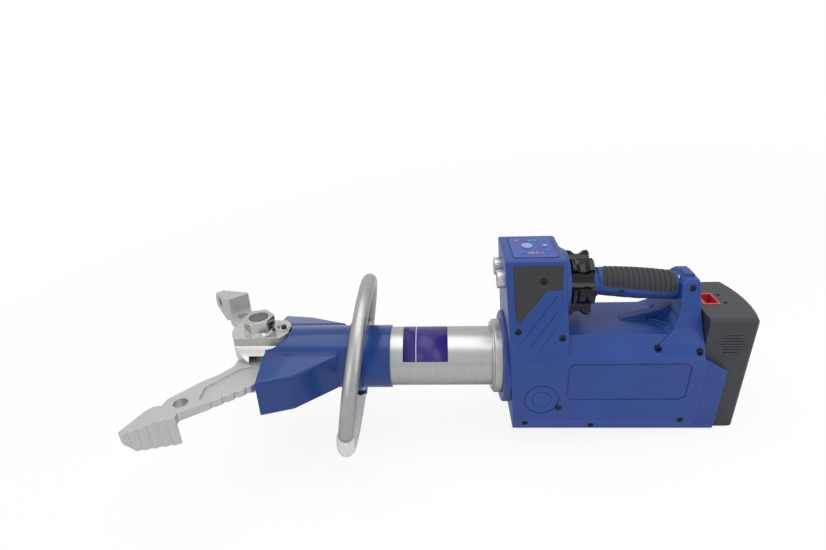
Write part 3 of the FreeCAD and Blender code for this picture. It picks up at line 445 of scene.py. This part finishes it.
# Lamp lenses. Glass, pressed and polished, clear with a faint cold tint.
glass, tree, shader, mm = finish("lamp_lens_glass", IOR=1.5, Transmission_Weight=0.85)
mottle(tree, shader, mm, size_mm=2.0, dark="E8EEF4", light="FAFCFF", rough=(0.03, 0.08))
paint(glass, "lamp_lenses")

# Battery pack. Charcoal glass-filled plastic with a spark-eroded grain; it slides back off its
# rails once the red slider on its top is pulled.
charcoal, tree, shader, mm = finish("charcoal_filled_plastic", Specular_IOR_Level=0.35)
case = mottle(tree, shader, mm, size_mm=12.0, dark="2E2F35", light="33343A", rough=(0.44, 0.52))
worn_edges(tree, shader, case, edge_mm=1.2, bare="55565E", amount=0.5)
grain(tree, shader, mm, size_mm=0.6, depth_mm=0.03, edge_mm=1.4, detail=2.0)
paint(charcoal, "battery_case", "battery_rails", "contact_block")

# Rim round the louvres on each side of the battery. Six-sided and a little proud, moulded in one
# with the charcoal case.
case_half_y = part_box("battery_case")[1][1]
rim_x, rim_z = 0.2340, 0.1242
rim_point_x, rim_flat_x, rim_half_z = 0.0178, 0.0108, 0.0166
rim_width, rim_proud, rim_sunk, rim_bevel = 0.0012, 0.00035, 0.0003, 0.0003
corners = ((rim_point_x, 0), (rim_flat_x, rim_half_z), (-rim_flat_x, rim_half_z),
           (-rim_point_x, 0), (-rim_flat_x, -rim_half_z), (rim_flat_x, -rim_half_z))
for word, side in (("near", -1), ("far", 1)):
    loops = []
    for inset_by, out in ((0, -rim_sunk), (rim_bevel, rim_proud),
                          (rim_width - rim_bevel, rim_proud), (rim_width, -rim_sunk)):
        k = 1 - inset_by / rim_half_z
        loops.append([(rim_x + k * x, side * (case_half_y + out), rim_z - side * k * z)
                      for x, z in corners])
    skin(word + "_louvre_rim", loops, charcoal, "battery", closed=True,
         smooth=False)

# Battery latch. Glossy red plastic slider, moulded, in a lighter red frame that is clipped into the
# top of the battery.
red, tree, shader, mm = finish("red_latch_plastic", Coat_Weight=0.2)
mottle(tree, shader, mm, size_mm=8.0, dark="9C141E", light="AC1C26", rough=(0.26, 0.36))
grain(tree, shader, mm, size_mm=0.5, depth_mm=0.02, edge_mm=0.6)
paint(red, "battery_latch")
light_red, tree, shader, mm = finish("light_red_frame_plastic")
mottle(tree, shader, mm, size_mm=8.0, dark="C2303A", light="CC3E46", rough=(0.3, 0.4))
grain(tree, shader, mm, size_mm=0.5, depth_mm=0.02, edge_mm=0.5)
paint(light_red, "latch_frame")

# Battery cells, inside the case. Steel cans in a shrunk green PVC wrap with a soft shine.
wrap, tree, shader, mm = finish("cell_shrink_wrap")
mottle(tree, shader, mm, size_mm=7.0, dark="1F6E58", light="2B7F67", rough=(0.3, 0.4))
paint(wrap, "battery_cells")

# Floor. Matt white painted board. The tool lies on its hoop and its rear foot, so the board slopes
# through those two; it keeps the tool's soft shadow and fades into the white room away from it.
floor_half, floor_gap = 9.0, 0.0006
fade_from_mm, fade_to_mm, white_near, white_far = 500.0, 1600.0, 0.88, 1.0
board, tree, shader, mm = finish("matt_white_board", Roughness=0.7)
mottle(tree, shader, mm, size_mm=300.0, dark="FCFCFC", light="FFFFFF")
seen = add(tree, "ShaderNodeLightPath")
glow = add(tree, "ShaderNodeEmission", {"Color": (1, 1, 1, 1), "Strength": 1.0})
reach = add(tree, "ShaderNodeVectorMath", {"operation": "LENGTH"}, {0: mm})
fade = add(tree, "ShaderNodeMapRange",
           {"From Min": fade_from_mm, "From Max": fade_to_mm, "To Min": white_near,
            "To Max": white_far}, {"Value": reach.outputs["Value"]})
white_share = add(tree, "ShaderNodeMath", {"operation": "MULTIPLY"},
                  {0: seen.outputs["Is Camera Ray"], 1: fade.outputs[0]})
whitened = add(tree, "ShaderNodeMixShader", None,
               {0: white_share.outputs[0], 1: shader.outputs[0], 2: glow.outputs[0]})
tree.links.new(whitened.outputs[0], tree.nodes["Material Output"].inputs[0])
sleeve_low, sleeve_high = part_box("hoop_foot_sleeve")
feet_low, feet_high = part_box("foot_pads")
front_x, front_z = (sleeve_low[0] + sleeve_high[0]) / 2, sleeve_low[2]
slope = math.atan2(feet_low[2] - front_z, feet_high[0] - front_x)
tilt = Matrix.Translation((front_x, 0, front_z - floor_gap)) @ Matrix.Rotation(-slope, 4, "Y")
corners = [tilt @ Vector((x * floor_half, y * floor_half, 0))
           for x, y in ((-1, -1), (1, -1), (1, 1), (-1, 1))]
floor_mesh = bpy.data.meshes.new("floor")
floor_mesh.from_pydata(corners, [], [(0, 1, 2, 3)])
floor_mesh.materials.append(board)
floor = bpy.data.objects.new("floor", floor_mesh)
bpy.context.scene.collection.objects.link(floor)


# Studio light: a large soft box overhead, and weaker ones at the front left and at the right.
def soft_box(name, place, target, width, depth, watts):
    """A rectangular soft box aimed at a point."""
    data = bpy.data.lights.new(name, "AREA")
    data.shape = "RECTANGLE"
    data.size = width
    data.size_y = depth
    data.energy = watts
    lamp = bpy.data.objects.new(name, data)
    lamp.location = place
    lamp.rotation_euler = (Vector(target) - Vector(place)).to_track_quat("-Z", "Y").to_euler()
    bpy.context.scene.collection.objects.link(lamp)


soft_box("overhead_box", place=(-0.1, -0.1, 1.5), target=(-0.05, 0, 0.05), width=1.8, depth=1.2,
         watts=13.5)
soft_box("front_left_box", place=(-1.2, -1.3, 0.7), target=(-0.15, 0, 0.1), width=0.9, depth=0.9,
         watts=5)
soft_box("right_box", place=(1.3, -0.9, 0.8), target=(0.1, 0, 0.1), width=0.6, depth=1.1, watts=5)

# White room round the tool. It lights matt surfaces at half strength; the camera, metal and glass
# see it as plain white.
room_strength = 0.5
world = bpy.data.worlds.new("studio")
bpy.context.scene.world = world
world.use_nodes = True
room_tree = world.node_tree
room = room_tree.nodes["Background"]
room.inputs["Color"].default_value = linear("FFFFFF")
room.inputs["Strength"].default_value = room_strength
ray = add(room_tree, "ShaderNodeLightPath")
white = add(room_tree, "ShaderNodeBackground", {"Color": (1, 1, 1, 1), "Strength": 1.0})
sharp = add(room_tree, "ShaderNodeMath", {"operation": "MAXIMUM"},
            {0: ray.outputs["Is Camera Ray"], 1: ray.outputs["Is Glossy Ray"]})
clear = add(room_tree, "ShaderNodeMath", {"operation": "MAXIMUM"},
            {0: sharp.outputs[0], 1: ray.outputs["Is Transmission Ray"]})
mixed = add(room_tree, "ShaderNodeMixShader", None,
            {0: clear.outputs[0], 1: room.outputs[0], 2: white.outputs[0]})
room_tree.links.new(mixed.outputs[0], room_tree.nodes["World Output"].inputs[0])

# Camera, solved from the photograph's circles and mirrored edges: near side, a little from above.
camera_place = (-0.10361, -0.58963, 0.48326)
yaw, pitch, roll = math.radians(-3.23), math.radians(26.01), math.radians(-2.24)
film_width_mm, focal_px, photo_px = 36.0, 537.85, 826
forward = Vector((math.sin(yaw) * math.cos(pitch), math.cos(yaw) * math.cos(pitch),
                  -math.sin(pitch)))
level = Vector((math.cos(yaw), -math.sin(yaw), 0))
above = level.cross(forward)
right = math.cos(roll) * level + math.sin(roll) * above
up = -math.sin(roll) * level + math.cos(roll) * above
lens = bpy.data.cameras.new("camera")
lens.sensor_width = film_width_mm
lens.lens = film_width_mm * focal_px / photo_px
lens.clip_start = 0.01
camera = bpy.data.objects.new("camera", lens)
turned_to = Matrix((right, up, -forward)).transposed().to_4x4()
camera.matrix_world = Matrix.Translation(camera_place) @ turned_to
bpy.context.scene.collection.objects.link(camera)
bpy.context.scene.camera = camera
bpy.context.scene.view_settings.view_transform = "Standard"
